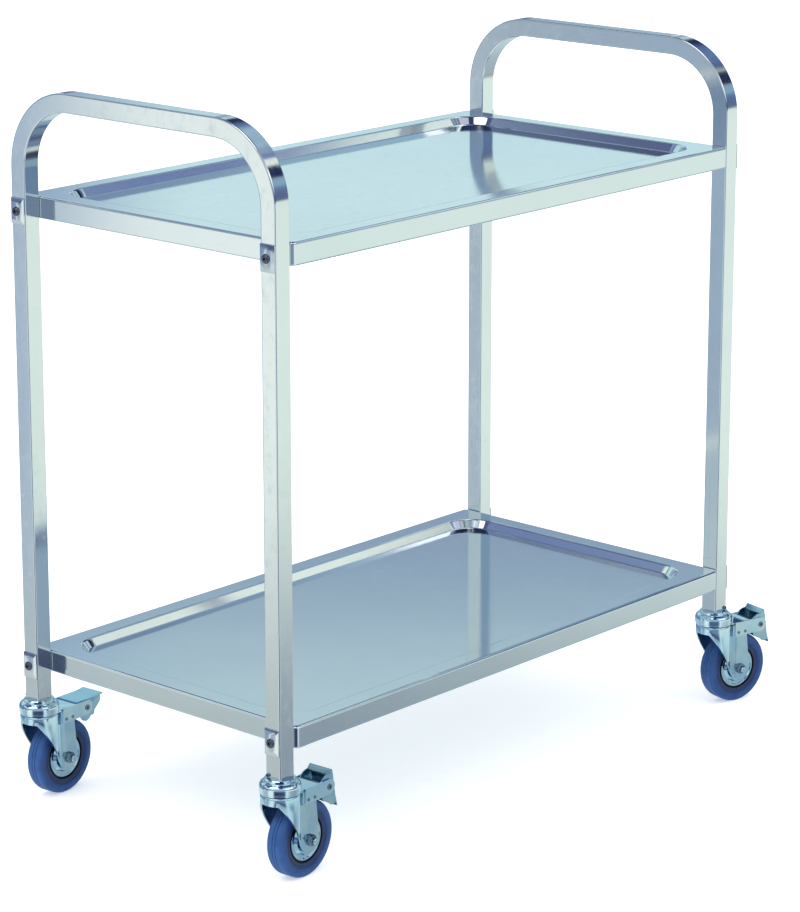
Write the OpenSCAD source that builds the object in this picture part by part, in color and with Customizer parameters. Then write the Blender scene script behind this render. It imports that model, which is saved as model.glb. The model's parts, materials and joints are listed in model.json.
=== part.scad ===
// Two-tier serving trolley of stainless steel: two bent tube frames, two pressed
// trays clamped between them, and four swivel castors with foot brakes.
// X runs along the trolley, Y across it and Z up from the floor.

/* [Overall] */
// Length over the two tube frames
cart_length = 916; // [650:1:1200]
// Depth over the posts
cart_depth = 462; // [360:1:700]
// Floor to the top of the handles
cart_height = 950; // [780:1:1150]
// Floor to the rim of the lower tray
lower_tray_z = 204; // [190:1:340]
// Floor to the rim of the upper tray
upper_tray_z = 808; // [480:1:860]

/* [Tube frames] */
// Width of the square tube
tube = 25; // [20:0.5:32]
// Wall of the tube
tube_wall = 1.2; // [1:0.1:2]
// Radius on the long edges of the tube
tube_edge = 2; // [1.5:0.1:3]
// Centre-line radius of the two bends under each handle
bend_radius = 90; // [60:1:120]

/* [Trays] */
// Sheet that the trays are pressed from
sheet = 1.2; // [0.8:0.1:2]
// How far the tray stands proud of the posts, front and back
tray_overhang = 3.4; // [0:0.1:10]
// Gap between the tray's ends and the posts
tray_gap = 0.1; // [0:0.1:1]
// Height of the tray's skirt
skirt_height = 29; // [26:0.5:50]
// Width of the hem folded in under the skirt
hem_width = 6; // [3:0.5:7]
// Corner radius of the tray, seen from above
tray_corner = 8; // [8:0.5:20]
// Outside radius of the bend from rim to skirt
rim_bend = 3; // [2:0.5:5]
// Flat rim round the recess
rim_width = 28; // [20:1:50]
// Depth of the recess
recess_depth = 11; // [5:0.5:11.5]
// How far the recess wall slopes inwards on its way down
recess_slope = 9; // [4:0.5:20]
// Corner radius of the recess, seen from above
recess_corner = 45; // [25:1:90]

/* [Clamps] */
// Width of a clamp plate
plate_width = 24; // [14:0.5:30]
// Height of a clamp plate
plate_height = 34; // [28:0.5:40]
// Thickness of a clamp plate
plate_wall = 1.5; // [1:0.1:2.5]
// How far the middle of the plate stands off the post
plate_dish = 2; // [1:0.1:4]
// Height of the sloping edge, top and bottom
plate_slope = 6; // [4:0.5:8]
// Width of the sloping edge on either side
plate_side_slope = 4; // [2:0.5:6]
// Shank of the clamp screws
screw_d = 6; // [5:0.5:6.5]
// Rim of the tray down to the clamp screws
screw_drop = 17; // [17:0.5:20]
// Diameter of the screw's button head
head_d = 12; // [10:0.5:14]
// Height of the screw's button head
head_h = 3.3; // [2.5:0.1:4]
// Width of the nut across its flats
nut_flats = 10; // [9:0.5:10.5]
// Height of the nut
nut_h = 5; // [4:0.5:6]

/* [Castor head] */
// Floor to the bottom of the posts
castor_height = 140; // [136:1:170]
// Diameter of the collar that the post stands on
collar_d = 39; // [36:0.5:44]
// Height of the collar
collar_h = 4; // [3:0.5:6]
// Height of the plug inside the post
plug_h = 40; // [25:1:80]
// Diameter of the domed cap over the ball race
cap_d = 52.4; // [50:0.2:60]
// Diameter of the king pin
king_pin_d = 12; // [10:0.5:14]
// Diameter of the balls
ball_d = 5; // [4:0.5:5.5]
// Number of balls in one race
ball_count = 16; // [8:1:18]
// Diameter of the hollow pin that locks the plug in the post
lock_pin_d = 5; // [4:0.5:6]

/* [Wheels] */
// Diameter of the wheel
wheel_d = 100; // [83:0.1:104]
// Width of the tyre
tyre_width = 25; // [20:0.5:28]
// Diameter of the steel discs
disc_d = 56; // [50:1:58]
// Width of the open groove between the discs and the tyre
disc_groove = 2.6; // [1:0.1:3]
// How far the wheel trails behind the swivel axis
trail = 36; // [32:0.5:42]
// Thread of the axle bolt
axle_d = 8; // [7:0.5:10]
// Outside diameter of the bearing sleeve on the axle
sleeve_d = 13; // [12.5:0.5:15]

/* [Fork] */
// Diameter of the fork's round head
fork_head_d = 50; // [48:0.5:54]
// Width over the fork's flat cheeks
fork_width = 36; // [34:0.1:44]
// Sheet that the fork is pressed from
fork_sheet = 2.5; // [2:0.1:3]
// Radius of the rounded end of each cheek
cheek_end_r = 16.5; // [13:0.5:18]

/* [Brake] */
// Sheet that the brake is pressed from
brake_sheet = 1.8; // [1.2:0.1:2]
// Depth of the brake bracket's sides
bracket_depth = 20; // [18:0.5:24]
// Swivel axis to the pedal's pivot
pivot_reach = 71; // [68:0.5:80]
// Diameter of the pedal's pivot
pivot_d = 6; // [5:0.5:7]
// Turn of the pedal between released and locked
pedal_throw = 80; // [60:1:85]

/* [Hidden] */
$fn = 96;
slack = 0.2;        // gap round parts that are assembled and stay put
running = 0.08;     // gap round a pin that something turns on
joint_gap = 0.5;    // gap between pieces that move past each other
overlap = 0.02;     // how far pieces of one solid run into each other
lap = 1;            // how far flat sheets of one pressing run over each other

// the four corners: name, side along X, side along Y, turn of the castor, brake on
CORNERS = [
    ["front_left", -1, -1, 3, true],
    ["front_right", 1, -1, -14, true],
    ["rear_left", -1, 1, 4, false],
    ["rear_right", 1, 1, 0, false],
];
CASTOR_PIECES = [
    "castor_plug", "swivel_cap", "fork", "brake_bracket", "bracket_rivets", "brake_pedal",
    "pedal_pin", "axle_bolt", "axle_nut", "bearing_sleeve", "wheel_discs", "tyre",
];
CART_PIECES = [
    "end_frame_left", "end_frame_right", "upper_tray", "lower_tray", "clamp_plates",
    "clamp_screws", "clamp_nuts", "plug_lock_pins", "swivel_balls",
];

stainless = [0.74, 0.75, 0.75];
tray_steel = [0.70, 0.75, 0.75];
zinc = [0.66, 0.76, 0.80];
rubber = [0.22, 0.33, 0.58];

post_x = cart_length / 2 - tube / 2;
post_y = cart_depth / 2 - tube / 2;
tray_length = cart_length - 2 * tube - 2 * tray_gap;
tray_depth = cart_depth + 2 * tray_overhang;
bore_in_tube = tube - 2 * tube_wall;
rim_in = max(hem_width, rim_bend + 2 * lap);
recess_bend = 2.5;
recess_lean = atan2(recess_depth, recess_slope);
recess_run = recess_bend * tan(recess_lean / 2);

// heights up the castor
cap_h = 15.4;
collar_bottom = castor_height - collar_h;
cap_bottom = collar_bottom - cap_h;
fork_top = cap_bottom - 1;
race_gap = ball_d + 0.2;
race_radius = fork_head_d / 2 - fork_sheet - ball_d / 2 - 1.5;
fork_lip = fork_top - 11;
fork_round = 3;
king_head_h = 3;
king_head_d = king_pin_d + 8;
lock_pin_side = 8;
lock_pin_depth = 6;
axle_z = wheel_d / 2;
cheek_in = fork_width / 2 - fork_sheet;
cheek_rear = trail + cheek_end_r - 5;

// wheel discs: raised boss in the middle, flat outer band
disc_sheet = 1.5;
boss_r = 19;
boss_y = cheek_in - 2.9;
disc_y = tyre_width / 2 - 3.3;

// brake, all from the swivel axis and the floor
bracket_in = fork_width / 2 + 0.1;
bracket_out = bracket_in + brake_sheet;
bracket_front = fork_head_d / 2 - 0.4;
bracket_drop = 19.6;
bracket_bottom = fork_top - bracket_drop;
bracket_top = bracket_bottom + bracket_depth;
bracket_plate_end = pivot_reach - 20;
pivot_z = bracket_bottom + bracket_depth / 2;
pedal_out = bracket_in - joint_gap;
pedal_in = pedal_out - brake_sheet;
toe = [32.3, 12.2];
shoe_d = 7;
shoe_arm_w = 8.4;
shoe_gap = 0.6;
// the shoe lies between the pivot and the axle when the pedal is down
to_axle = [trail - pivot_reach, axle_z - pivot_z];
shoe_reach = norm(to_axle) - wheel_d / 2 - shoe_d / 2 - shoe_gap;
shoe_turn = atan2(to_axle[1], to_axle[0]) + pedal_throw;
rivet_d = 3;
rivet_head_d = 4.4;
rivet_head_h = 0.6;
pin_head_h = 0.8;

// axle bolt
bolt_flats = 13;
bolt_head_h = 5.3;
washer_h = 1.2;
nut_end = fork_width / 2 + washer_h + bolt_head_h;
bolt_end = nut_end + 3;

// how far a castor reaches, to put the origin under the middle of the whole trolley
function turned(p, a) = [p[0] * cos(a) - p[1] * sin(a), p[0] * sin(a) + p[1] * cos(a)];
function pedal_toe(on) =
    let (a = on ? -pedal_throw : 0)
    pivot_reach + toe[0] * cos(a) - toe[1] * sin(a);
function reach(corner) = [
    for (side = [-1, 1])
        for (p = [
            [pedal_toe(corner[4]), side * pedal_out],
            [trail + side * axle_d / 2, -bolt_end],
            [trail + side * bolt_flats / 2 / cos(30), fork_width / 2 + bolt_head_h],
        ])
            [corner[1] * post_x, corner[2] * post_y] + turned(p, corner[3])
];
REACH = [for (corner = CORNERS) each reach(corner)];
clamp_reach = cart_length / 2 + plate_dish + plate_wall + head_h;
left_end = -max(post_x + cap_d / 2, clamp_reach);
right_end = max(clamp_reach, max([for (p = REACH) p[0]]));
front_end = min(-tray_depth / 2, -post_y - cap_d / 2, min([for (p = REACH) p[1]]));
rear_end = max(tray_depth / 2, post_y + cap_d / 2, max([for (p = REACH) p[1]]));
middle = [(left_end + right_end) / 2, (front_end + rear_end) / 2, 0];

// ---------------------------------------------------------------- outlines

function arc(centre, r, from, to, steps = 6) = [
    for (i = [0:steps])
        let (a = from + (to - from) * i / steps)
        centre + r * [cos(a), sin(a)]
];

module rounded_rectangle(w, h, r) {
    square([w - 2 * r, h], center = true);
    square([w, h - 2 * r], center = true);
    for (x = [-1, 1], y = [-1, 1])
        translate([x * (w / 2 - r), y * (h / 2 - r)])
            circle(r);
}

// Sweeps an outline round a rectangle with rounded corners. The outline's x is
// measured from the corner's centre, so x = r lies on the rectangle.
module around_rectangle(w, h, r) {
    for (turn = [0, 180])
        rotate(turn) {
            translate([w / 2 - r, 0, 0])
                rotate([90, 0, 0])
                    linear_extrude(h - 2 * r, center = true)
                        children();
            translate([0, h / 2 - r, 0])
                rotate([90, 0, 90])
                    linear_extrude(w - 2 * r, center = true)
                        children();
            translate([w / 2 - r, h / 2 - r, 0])
                rotate_extrude(angle = 90)
                    children();
            translate([r - w / 2, h / 2 - r, 0])
                rotate(90)
                    rotate_extrude(angle = 90)
                        children();
        }
}

// Turns an outline drawn in X and Z into a slab across Y.
module across(from, to) {
    translate([0, to, 0])
        rotate([90, 0, 0])
            linear_extrude(to - from)
                children();
}

module rod_y(x, z, d, from, to, sides = $fn) {
    translate([x, to, z])
        rotate([90, 0, 0])
            cylinder(h = to - from, d = d, $fn = sides);
}

module rod_x(y, z, d, from, to, sides = $fn) {
    translate([from, y, z])
        rotate([0, 90, 0])
            cylinder(h = to - from, d = d, $fn = sides);
}

// ---------------------------------------------------------------- places

module on_floor() {
    translate(-middle)
        children();
}

module at_posts() {
    for (x = [-1, 1], y = [-1, 1])
        translate([x * post_x, y * post_y, 0])
            children();
}

module at_post(corner) {
    on_floor()
        translate([corner[1] * post_x, corner[2] * post_y, 0])
            children();
}

module on_swivel(corner) {
    at_post(corner)
        rotate(corner[3])
            children();
}

// Every clamp, seen as if it were on the right-hand end: X points out of the post.
module at_clamps() {
    on_floor()
        for (z = [lower_tray_z, upper_tray_z], x = [0, 1], y = [-1, 1])
            mirror([x, 0, 0])
                translate([cart_length / 2, y * post_y, z - screw_drop])
                    children();
}

// The hollow pins: one face of each post, off its middle and just above the collar.
module at_lock_pins() {
    for (corner = CORNERS)
        let (on_x = corner[1] == corner[2])
        translate([corner[1] * post_x, corner[2] * post_y, castor_height + lock_pin_d / 2 + 0.6])
            rotate(on_x ? (corner[1] < 0 ? 180 : 0) : (corner[2] < 0 ? -90 : 90))
                translate([tube / 2, on_x ? -lock_pin_side : lock_pin_side, 0])
                    children();
}

// ---------------------------------------------------------------- frames

module tube_outline() {
    difference() {
        rounded_rectangle(tube, tube, tube_edge);
        rounded_rectangle(bore_in_tube, bore_in_tube, tube_edge - tube_wall + 0.1);
    }
}

// Half of the bent tube: a post, a bend and half of the handle.
module half_hoop() {
    bend_z = cart_height - tube / 2 - bend_radius;
    bend_y = post_y - bend_radius;
    translate([0, post_y, castor_height])
        linear_extrude(bend_z - castor_height)
            tube_outline();
    translate([0, bend_y, bend_z])
        rotate([90, 0, 90])
            rotate_extrude(angle = 90)
                translate([bend_radius, 0])
                    tube_outline();
    translate([0, bend_y, cart_height - tube / 2])
        rotate([90, 0, 0])
            linear_extrude(bend_y)
                tube_outline();
}

module end_frame(side) {
    color(stainless)
        on_floor()
            difference() {
                translate([side * post_x, 0, 0])
                    for (y = [0, 1])
                        mirror([0, y, 0])
                            half_hoop();
                for (y = [-1, 1], z = [lower_tray_z, upper_tray_z])
                    rod_x(
                        y * post_y, z - screw_drop, screw_d + 2 * slack,
                        side * post_x - tube, side * post_x + tube
                    );
                at_lock_pins()
                    rod_x(0, 0, lock_pin_d + slack, -2 * tube_wall, tube_wall);
            }
}

// ---------------------------------------------------------------- trays

// Rim edge, skirt and the hem under it.
module skirt_outline() {
    r = tray_corner;
    inner = rim_bend - sheet;
    hem_out = sheet + 0.8;
    polygon(concat(
        [[r - rim_in, 0]],
        arc([r - rim_bend, -rim_bend], rim_bend, 90, 0),
        arc([r - hem_out, -skirt_height + hem_out], hem_out, 0, -90),
        [[r - hem_width, -skirt_height], [r - hem_width, -skirt_height + sheet]],
        arc([r - hem_out, -skirt_height + hem_out], hem_out - sheet, -90, 0),
        arc([r - rim_bend, -rim_bend], inner, 0, 90),
        [[r - rim_in, -sheet]]
    ));
}

// Sloping wall of the recess, with a soft bend at its top and its foot.
module recess_outline() {
    r = recess_corner;
    lean = recess_lean;
    outer = recess_bend + sheet;
    top = [r + recess_run, -outer];
    foot = [r - recess_slope - recess_run, recess_bend - recess_depth];
    polygon(concat(
        [[top[0] + 2 * lap, 0]],
        arc(top, outer, 90, 90 + lean),
        arc(foot, recess_bend, lean - 90, -90),
        [foot - [2 * lap, recess_bend], foot - [2 * lap, outer]],
        arc(foot, outer, -90, lean - 90),
        arc(top, recess_bend, 90 + lean, 90),
        [[top[0] + 2 * lap, -sheet]]
    ));
}

module tray(top) {
    recess = [tray_length - 2 * rim_width, tray_depth - 2 * rim_width];
    in = rim_in - lap;
    edge = recess_run + lap;
    floor_in = recess_slope + edge;
    color(tray_steel)
        on_floor()
            translate([0, 0, top]) {
                around_rectangle(tray_length, tray_depth, tray_corner)
                    skirt_outline();
                translate([0, 0, -sheet])
                    linear_extrude(sheet)
                        difference() {
                            rounded_rectangle(
                                tray_length - 2 * in, tray_depth - 2 * in, tray_corner - in
                            );
                            rounded_rectangle(
                                recess[0] + 2 * edge, recess[1] + 2 * edge, recess_corner + edge
                            );
                        }
                around_rectangle(recess[0], recess[1], recess_corner)
                    recess_outline();
                translate([0, 0, -recess_depth - sheet])
                    linear_extrude(sheet)
                        rounded_rectangle(
                            recess[0] - 2 * floor_in, recess[1] - 2 * floor_in,
                            recess_corner - floor_in
                        );
            }
}

// A tray with the holes that its clamp screws pass through.
module drilled_tray(top) {
    difference() {
        tray(top);
        on_floor()
            for (y = [-1, 1])
                rod_x(
                    y * post_y, top - screw_drop, screw_d + 2 * slack,
                    -cart_length, cart_length
                );
    }
}

// ---------------------------------------------------------------- clamps

// Block with four sloping sides, standing up along X from a base of half-size `base`.
module sloping_block(base, top, straight, height) {
    intersection() {
        across(-base[0], base[0])
            polygon([
                [0, -base[1]], [straight, -base[1]], [height, -top[1]],
                [height, top[1]], [straight, base[1]], [0, base[1]],
            ]);
        translate([0, 0, -base[1]])
            linear_extrude(2 * base[1])
                polygon([
                    [0, -base[0]], [straight, -base[0]], [height, -top[0]],
                    [height, top[0]], [straight, base[0]], [0, base[0]],
                ]);
    }
}

module clamp_plates() {
    base = [plate_width / 2, plate_height / 2];
    face = base - [plate_side_slope, plate_slope];
    color(stainless)
        at_clamps()
            difference() {
                translate([0, 0, screw_drop - base[1]])
                    difference() {
                        sloping_block(base, face, plate_wall, plate_dish + plate_wall);
                        sloping_block(base - [lap, lap], face - [lap, lap], 0, plate_dish);
                    }
                rod_x(0, 0, screw_d + 2 * slack, -1, plate_dish + 2 * plate_wall);
            }
}

module clamp_screws() {
    seat = plate_dish + plate_wall;
    length = seat + tube + tray_gap + sheet + nut_h + 2;
    color(stainless)
        at_clamps() {
            rod_x(0, 0, screw_d, seat - length, seat + overlap);
            difference() {
                translate([seat, 0, 0])
                    rotate([0, 90, 0])
                        rotate_extrude()
                            polygon(concat(
                                [[0, 0], [head_d / 2, 0], [head_d / 2, 0.6]],
                                arc([head_d / 2 - 2.7, 0.6], 2.7, 0, 90),
                                [[0, head_h]]
                            ));
                rod_x(0, 0, 4.6, seat + head_h - 2, seat + head_h + 1, 6);
            }
        }
}

module clamp_nuts() {
    face = -tube - tray_gap - sheet;
    color(zinc)
        at_clamps()
            difference() {
                rod_x(0, 0, nut_flats / cos(30), face - nut_h, face, 6);
                rod_x(0, 0, screw_d + slack, face - 2 * nut_h, face + 1);
            }
}

// ---------------------------------------------------------------- castor heads

module plug_lock_pins() {
    color(zinc)
        on_floor()
            at_lock_pins()
                difference() {
                    rod_x(0, 0, lock_pin_d, -lock_pin_depth, 2);
                    rod_x(0, 0, lock_pin_d - 2, -lock_pin_depth - 1, 3);
                }
}

// Square plug, collar and king pin in one piece, with the pin's riveted head.
module castor_plug(corner) {
    head_z = fork_top - fork_sheet - joint_gap - king_head_h;
    color(zinc)
        difference() {
            at_post(corner) {
                translate([0, 0, castor_height - overlap])
                    linear_extrude(plug_h)
                        rounded_rectangle(bore_in_tube - slack, bore_in_tube - slack, 1.5);
                translate([0, 0, collar_bottom])
                    cylinder(h = collar_h - 1, d = collar_d);
                translate([0, 0, castor_height - 1 - overlap])
                    cylinder(h = 1 + overlap, d1 = collar_d, d2 = collar_d - 2);
                translate([0, 0, head_z])
                    cylinder(h = collar_bottom - head_z + overlap, d = king_pin_d);
                translate([0, 0, head_z])
                    cylinder(h = king_head_h, d = king_head_d);
            }
            on_floor()
                at_lock_pins()
                    rod_x(0, 0, lock_pin_d + slack, -lock_pin_depth - slack, 0);
        }
}

// Domed cap that is also the upper half of the ball race.
module swivel_cap(corner) {
    r = cap_d / 2;
    top = collar_bottom;
    shoulder = 7;
    color(zinc)
        at_post(corner)
            rotate_extrude()
                polygon(concat(
                    [[king_pin_d / 2 + slack, fork_top + race_gap], [king_pin_d / 2 + slack, top]],
                    arc([r - shoulder, top - shoulder], shoulder, 90, 0, 8),
                    [
                        [r, cap_bottom + 2.6], [r - 0.6, cap_bottom + 2], [r - 0.6, cap_bottom],
                        [r - 2.2, cap_bottom], [r - 2.2, fork_top + race_gap],
                    ]
                ));
}

module swivel_balls() {
    color(zinc)
        on_floor()
            at_posts()
                for (i = [1:ball_count])
                    rotate(360 * i / ball_count)
                        translate([race_radius, 0, fork_top + race_gap - ball_d / 2 - 0.05])
                            sphere(d = ball_d, $fn = 32);
}

// ---------------------------------------------------------------- forks

// Side view of the fork: round head in front, cheeks that end round the axle.
module fork_side() {
    r = cheek_end_r;
    axle = [trail, axle_z];
    head = -fork_head_d / 2 - 1;
    brow = [-18.5, fork_lip - 1];
    rear = [cheek_rear, bracket_bottom - 4];
    // angles at which the front and rear edges meet the rounded end
    to_brow = brow - axle;
    to_rear = rear - axle;
    front_at = atan2(to_brow[1], to_brow[0]) + acos(r / norm(to_brow));
    rear_at = atan2(to_rear[1], to_rear[0]) - acos(r / norm(to_rear));
    polygon(concat(
        [[head, fork_top], [head, fork_lip], [brow[0] - 3, fork_lip], brow],
        arc(axle, r, front_at, 360 + rear_at, 24),
        [rear, [cheek_rear, fork_top - 1.4], [fork_head_d / 2 - 4, fork_top - 1.4],
         [fork_head_d / 2 - 4, fork_top]]
    ));
}

module fork_plan(r, half) {
    circle(r);
    translate([0, -half])
        square([cheek_rear + cheek_end_r, 2 * half]);
}

module fork(corner) {
    r = fork_head_d / 2;
    round = fork_round;
    color(zinc)
        on_swivel(corner)
            difference() {
                union() {
                    intersection() {
                        linear_extrude(fork_top - round)
                            difference() {
                                fork_plan(r, fork_width / 2);
                                fork_plan(r - fork_sheet, cheek_in);
                            }
                        across(-fork_head_d, fork_head_d)
                            fork_side();
                    }
                    // crown plate, rounded into the head's wall
                    rotate_extrude()
                        polygon(concat(
                            [[0, fork_top - fork_sheet], [0, fork_top]],
                            arc([r - round, fork_top - round], round, 90, 0),
                            [[r, fork_top - round - overlap],
                             [r - fork_sheet, fork_top - round - overlap],
                             [r - fork_sheet, fork_top - fork_sheet]]
                        ));
                    // rib on each cheek in front of the brake bracket
                    for (side = [0, 1])
                        mirror([0, side, 0])
                            translate([bracket_front - 4.4, fork_width / 2 - overlap, bracket_bottom])
                                cube([2.2, brake_sheet, fork_top - round - bracket_bottom]);
                }
                translate([0, 0, fork_top - 2 * fork_sheet])
                    cylinder(h = 3 * fork_sheet, d = king_pin_d + 2 * running);
                rod_y(trail, axle_z, axle_d + slack, -fork_width, fork_width);
                bracket_holes();
            }
}

// Places of the rivets, as offsets from the bracket's front bottom corner.
module at_rivets() {
    for (x = [6, 18])
        translate([bracket_front + x, 0, bracket_bottom + 5])
            children();
}

module bracket_holes() {
    at_rivets()
        rod_y(0, 0, rivet_d + slack, -fork_head_d, fork_head_d);
}

// ---------------------------------------------------------------- wheels

module axle_bolt(corner) {
    cheek = fork_width / 2;
    color(zinc)
        on_swivel(corner) {
            rod_y(trail, axle_z, axle_d, -bolt_end, cheek + overlap);
            rod_y(trail, axle_z, bolt_flats / cos(30), cheek, cheek + bolt_head_h, 6);
        }
}

module axle_nut(corner) {
    cheek = fork_width / 2;
    color(zinc)
        on_swivel(corner)
            difference() {
                union() {
                    rod_y(
                        trail, axle_z, bolt_flats / cos(30),
                        -nut_end, -cheek - washer_h + overlap, 6
                    );
                    rod_y(trail, axle_z, bolt_flats + 2, -cheek - washer_h, -cheek);
                }
                rod_y(trail, axle_z, axle_d + slack, -bolt_end, -cheek + 1);
            }
}

module bearing_sleeve(corner) {
    half = cheek_in - 0.05;
    color(zinc)
        on_swivel(corner)
            difference() {
                rod_y(trail, axle_z, sleeve_d, -half, half);
                rod_y(trail, axle_z, axle_d + slack, -fork_width, fork_width);
            }
}

module on_axle(corner) {
    on_swivel(corner)
        translate([trail, 0, axle_z])
            rotate([90, 0, 0])
                children();
}

// Outline closed by its own mirror image in the wheel's middle plane.
module both_sides(half) {
    polygon(concat(half, [for (i = [len(half) - 1:-1:0]) [half[i][0], -half[i][1]]]));
}

// The two pressed discs, back to back, with the hub tube that joins them.
module wheel_discs(corner) {
    r = disc_d / 2;
    bore = sleeve_d / 2 + running;
    hub = bore + 2;
    half = cheek_in - joint_gap;
    lip_y = disc_y + 1.4;
    color(zinc)
        on_axle(corner)
            rotate_extrude()
                both_sides([
                    [bore, half], [hub, half],
                    [hub, boss_y], [boss_r, boss_y], [boss_r + 3, disc_y],
                    [r - 3, disc_y], [r - 1.6, lip_y], [r, lip_y],
                    [r, disc_y - disc_sheet], [boss_r + 2.4, disc_y - disc_sheet],
                    [boss_r - 0.6, boss_y - disc_sheet], [hub, boss_y - disc_sheet],
                ]);
}

module tyre(corner) {
    r = wheel_d / 2;
    w = tyre_width / 2;
    seat = disc_d / 2;
    bead = seat + disc_groove;
    // the thinner band of the sidewall ends two fifths of the way out to the tread
    step = bead + 0.4 * (r - bead);
    core = disc_y - disc_sheet;
    flank = [
        [seat - 6, core], [bead, core], [bead + 0.4, w - 1.6], [bead + 1, w - 1.2],
        [step - 0.6, w - 1], [step, w], [r - 6.5, w],
    ];
    shoulder = concat(
        arc([r - 4.2, w - 4.2], 4.2, 75, 10, 5),
        [[r, 5], [r, 1.6], [r - 1, 1.1]]
    );
    color(rubber)
        on_axle(corner)
            rotate_extrude()
                both_sides(concat(flank, shoulder));
}

// ---------------------------------------------------------------- brakes

module brake_bracket(corner) {
    h = bracket_depth / 2;
    color(zinc)
        on_swivel(corner)
            difference() {
                union() {
                    for (side = [0, 1])
                        mirror([0, side, 0])
                            across(bracket_in, bracket_out) {
                                translate([bracket_front, bracket_bottom])
                                    square([pivot_reach - bracket_front, bracket_depth]);
                                translate([pivot_reach, pivot_z])
                                    circle(h);
                            }
                    across(-bracket_in - overlap, bracket_in + overlap)
                        translate([0, bracket_top - brake_sheet])
                            square([bracket_plate_end, brake_sheet]);
                }
                cylinder(h = castor_height, r = fork_head_d / 2 + 0.3);
                rod_y(pivot_reach, pivot_z, pivot_d + slack, -fork_width, fork_width);
                bracket_holes();
            }
}

module bracket_rivets(corner) {
    inner = cheek_in - pin_head_h;
    color(zinc)
        on_swivel(corner)
            at_rivets()
                for (side = [0, 1])
                    mirror([0, side, 0]) {
                        rod_y(0, 0, rivet_d, inner, bracket_out + rivet_head_h);
                        rod_y(0, 0, rivet_head_d, inner, cheek_in);
                        rod_y(0, 0, rivet_head_d, bracket_out, bracket_out + rivet_head_h);
                    }
}

// Hollow rivet that the pedal turns on.
module pedal_pin(corner) {
    end = bracket_out + pin_head_h;
    color(zinc)
        on_swivel(corner)
            difference() {
                union() {
                    rod_y(pivot_reach, pivot_z, pivot_d, -end, end);
                    for (side = [0, 1])
                        mirror([0, side, 0])
                            rod_y(pivot_reach, pivot_z, pivot_d + 2, bracket_out, end);
                }
                rod_y(pivot_reach, pivot_z, pivot_d - 3, -fork_width, fork_width);
            }
}

// Pedal seen from the side, released, with its pivot at the origin.
module pedal_cheek() {
    polygon(concat(
        [[-18.5, 10.6], [-19.2, 9], [-15.2, 4.2]],
        arc([0, 0], 15.6, 175, 225),
        [[-6, -17.5], [-1, -19.5], [4, -18.5], [26.4, 1], [27.6, 4], [27.2, 10.4], [18.5, 9.6]]
    ));
}

module pedal_tread() {
    t = brake_sheet;
    polygon([
        [-19.2, 9.4], [-18.4, 11.4], [18.5, 10.8], toe, toe - [0.3, t],
        [18.7, 10.8 - t], [-17.2, 11.4 - t], [-13.4, 4.6], [-15, 3.6],
    ]);
}

// Part of the cheek that holds the shoe, the bar that presses on the tyre.
module shoe_arm() {
    rotate(shoe_turn) {
        translate([0, -shoe_arm_w / 2])
            square([shoe_reach, shoe_arm_w]);
        translate([shoe_reach, 0])
            circle(d = shoe_arm_w);
    }
}

module brake_pedal(corner) {
    color(zinc)
        on_swivel(corner)
            translate([pivot_reach, 0, pivot_z])
                rotate([0, corner[4] ? pedal_throw : 0, 0])
                    difference() {
                        union() {
                            for (side = [0, 1])
                                mirror([0, side, 0])
                                    across(pedal_in, pedal_out) {
                                        pedal_cheek();
                                        shoe_arm();
                                    }
                            across(-pedal_out, pedal_out)
                                pedal_tread();
                            rod_y(
                                shoe_reach * cos(shoe_turn), shoe_reach * sin(shoe_turn), shoe_d,
                                lap - pedal_out, pedal_out - lap
                            );
                        }
                        rod_y(0, 0, pivot_d + 2 * running, -fork_width, fork_width);
                    }
}

// ---------------------------------------------------------------- assembly

end_frame(-1);  // end_frame_left
end_frame(1);  // end_frame_right
drilled_tray(upper_tray_z);  // upper_tray
drilled_tray(lower_tray_z);  // lower_tray
clamp_plates();
clamp_screws();
clamp_nuts();
plug_lock_pins();
swivel_balls();
for (corner = CORNERS) {
    castor_plug(corner);
    swivel_cap(corner);
    fork(corner);
    brake_bracket(corner);
    bracket_rivets(corner);
    brake_pedal(corner);
    pedal_pin(corner);
    axle_bolt(corner);
    axle_nut(corner);
    bearing_sleeve(corner);
    wheel_discs(corner);
    tyre(corner);
}
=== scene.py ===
import json
import math

import bmesh
import bpy
from mathutils import Matrix, Vector

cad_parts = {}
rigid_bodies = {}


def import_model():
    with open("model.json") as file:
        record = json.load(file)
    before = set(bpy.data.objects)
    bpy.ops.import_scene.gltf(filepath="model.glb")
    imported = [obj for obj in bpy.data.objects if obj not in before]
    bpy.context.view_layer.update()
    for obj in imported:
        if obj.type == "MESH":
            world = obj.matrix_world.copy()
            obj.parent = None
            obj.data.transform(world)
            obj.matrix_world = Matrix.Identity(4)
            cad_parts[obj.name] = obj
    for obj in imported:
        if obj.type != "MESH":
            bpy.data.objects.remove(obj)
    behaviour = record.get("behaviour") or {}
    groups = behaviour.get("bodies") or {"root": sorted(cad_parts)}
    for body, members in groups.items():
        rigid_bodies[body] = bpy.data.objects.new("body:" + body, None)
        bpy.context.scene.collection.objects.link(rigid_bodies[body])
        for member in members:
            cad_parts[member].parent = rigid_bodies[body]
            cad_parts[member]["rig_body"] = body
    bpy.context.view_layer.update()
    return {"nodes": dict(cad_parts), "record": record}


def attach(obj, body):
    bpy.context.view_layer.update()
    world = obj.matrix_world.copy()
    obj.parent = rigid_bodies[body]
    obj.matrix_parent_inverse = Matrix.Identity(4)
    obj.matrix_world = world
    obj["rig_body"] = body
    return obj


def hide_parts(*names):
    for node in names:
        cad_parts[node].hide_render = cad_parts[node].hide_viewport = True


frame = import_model()
for default in ("Cube", "Light", "Camera"):
    if default in bpy.data.objects:
        bpy.data.objects.remove(bpy.data.objects[default])


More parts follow.
